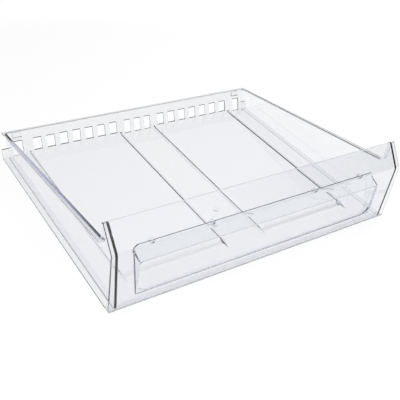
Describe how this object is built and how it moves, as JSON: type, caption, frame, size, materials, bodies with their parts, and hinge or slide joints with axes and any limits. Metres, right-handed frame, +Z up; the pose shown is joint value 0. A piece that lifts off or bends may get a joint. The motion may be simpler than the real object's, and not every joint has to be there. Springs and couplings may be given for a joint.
{
  "type": "freezer drawer",
  "caption": "Shallow clear plastic freezer drawer with a leaning front panel, a finger opening with a pocket behind it, a sloping rim and a vented back wall.",
  "frame": {"origin": "centre of the footprint, on the plane the drawer stands on", "axes": "+X to the right seen from the front, +Y from the front panel to the back wall, +Z up"},
  "size_m": [0.453, 0.362, 0.1166],
  "materials": {
    "clear_plastic": "clear, polished mould finish"
  },
  "bodies": {
    "root": {"drawer": "clear_plastic"}
  },
  "joints": []
}
